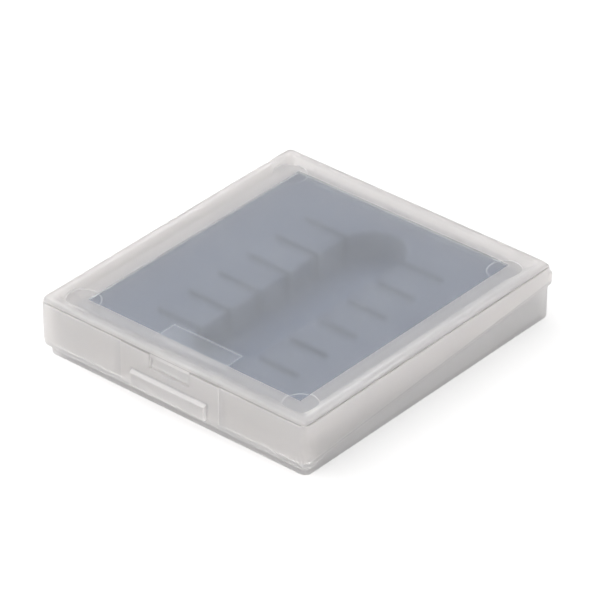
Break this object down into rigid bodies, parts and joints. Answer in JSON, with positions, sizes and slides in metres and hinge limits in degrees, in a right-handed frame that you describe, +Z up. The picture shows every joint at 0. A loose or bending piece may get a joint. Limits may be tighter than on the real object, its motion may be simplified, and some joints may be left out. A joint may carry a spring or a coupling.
{
  "type": "blade storage case",
  "caption": "Flat hinged case in translucent plastic: overlapping lid with a front snap latch over a tray with a dark slotted foam insert.",
  "frame": {"origin": "on the face the case rests on, under the middle of the lid's outline", "axes": "+X across the case to the right seen from the latch, +Y from the latch at the front to the hinge at the back, +Z up"},
  "size_m": [0.1256, 0.1431, 0.0242],
  "materials": {
    "frosted_plastic": "frosted, milky",
    "dark_foam": "fine closed-cell foam",
    "dark_foam_sheet": "thin foam sheet"
  },
  "bodies": {
    "tray": {"base_tray": "frosted_plastic", "foam_insert": "dark_foam", "foam_backing": "dark_foam_sheet", "hinge_web": "frosted_plastic"},
    "lid": {"lid": "frosted_plastic"}
  },
  "joints": [
    {"name": "lid_hinge", "type": "hinge", "parent": "tray", "child": "lid", "pos_m": [0, 0.07175, 0.0165], "axis": [-1, 0, 0], "range_deg": [0, 180]}
  ]
}
